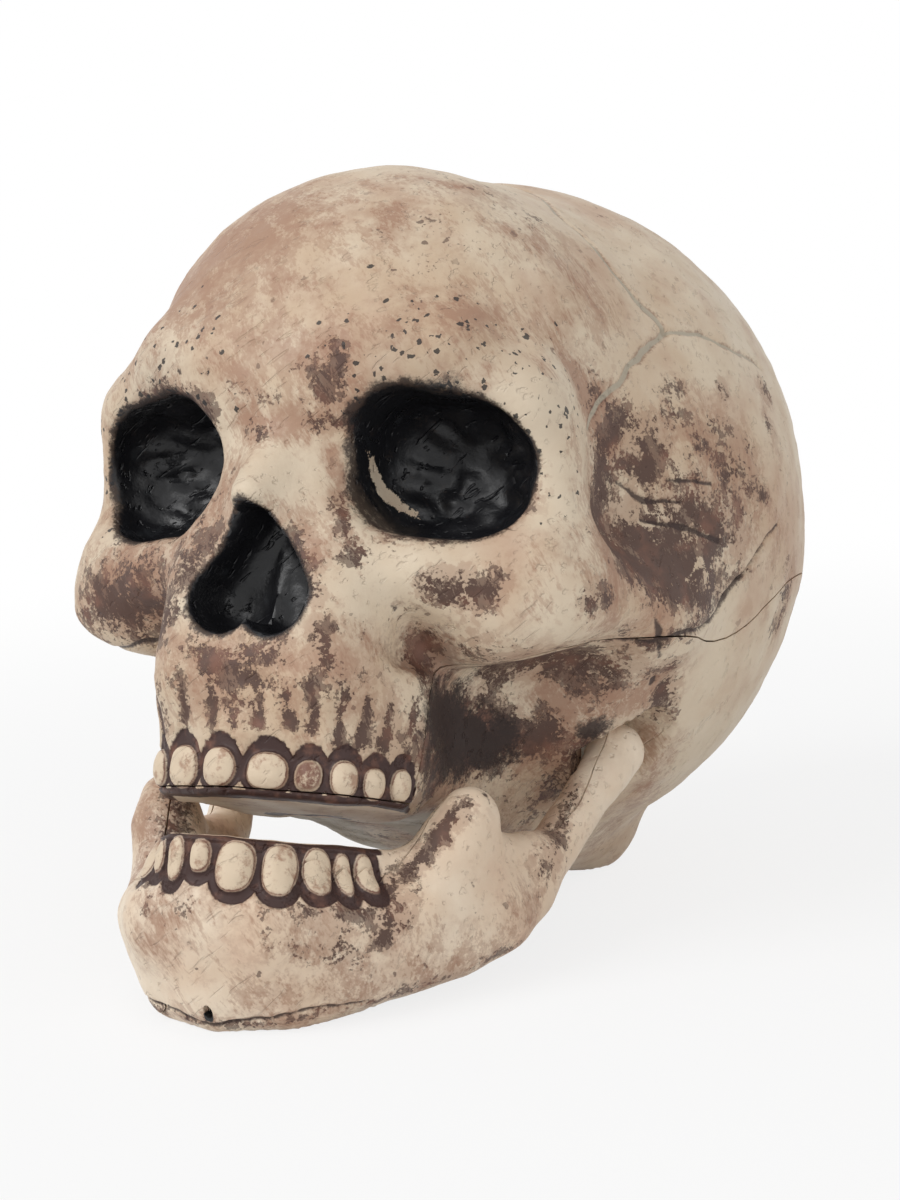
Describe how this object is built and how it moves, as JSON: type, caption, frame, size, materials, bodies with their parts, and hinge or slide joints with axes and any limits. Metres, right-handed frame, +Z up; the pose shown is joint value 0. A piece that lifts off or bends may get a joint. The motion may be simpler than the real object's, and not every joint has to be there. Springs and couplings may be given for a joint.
{
  "type": "halloween skull decoration",
  "caption": "Life-size aged bone-coloured skull decoration in thin moulded plastic, with a hinged lower jaw that opens and closes on friction pivots.",
  "frame": {"origin": "middle of the bounding box, on the plane that the skull rests on", "axes": "+Z up, the face looks along -Y, +X is the skull's own left"},
  "size_m": [0.1514, 0.217, 0.1717],
  "materials": {
    "bone_plastic": "semi-matte, washed with dark brown stain in the hollows",
    "jaw_plastic": "semi-matte, washed with dark brown stain around the teeth",
    "pin_steel": "bright turned steel",
    "spring_steel": "blued spring steel",
    "washer_nylon": "natural nylon, satin"
  },
  "bodies": {
    "cranium": {"face_and_vault_shell": "bone_plastic", "skull_base_shell": "bone_plastic", "friction_washer_left": "washer_nylon", "friction_washer_right": "washer_nylon", "wave_washer_left": "spring_steel", "wave_washer_right": "spring_steel"},
    "jaw": {"jaw_outer_shell": "jaw_plastic", "jaw_inner_shell": "jaw_plastic", "pivot_pin_left": "pin_steel", "pivot_pin_right": "pin_steel", "push_nut_left": "spring_steel", "push_nut_right": "spring_steel"}
  },
  "joints": [
    {"name": "jaw_hinge", "type": "hinge", "parent": "cranium", "child": "jaw", "pos_m": [0, -0.00498, 0.0392], "axis": [1, 0, 0], "range_deg": [-4, 14]}
  ]
}
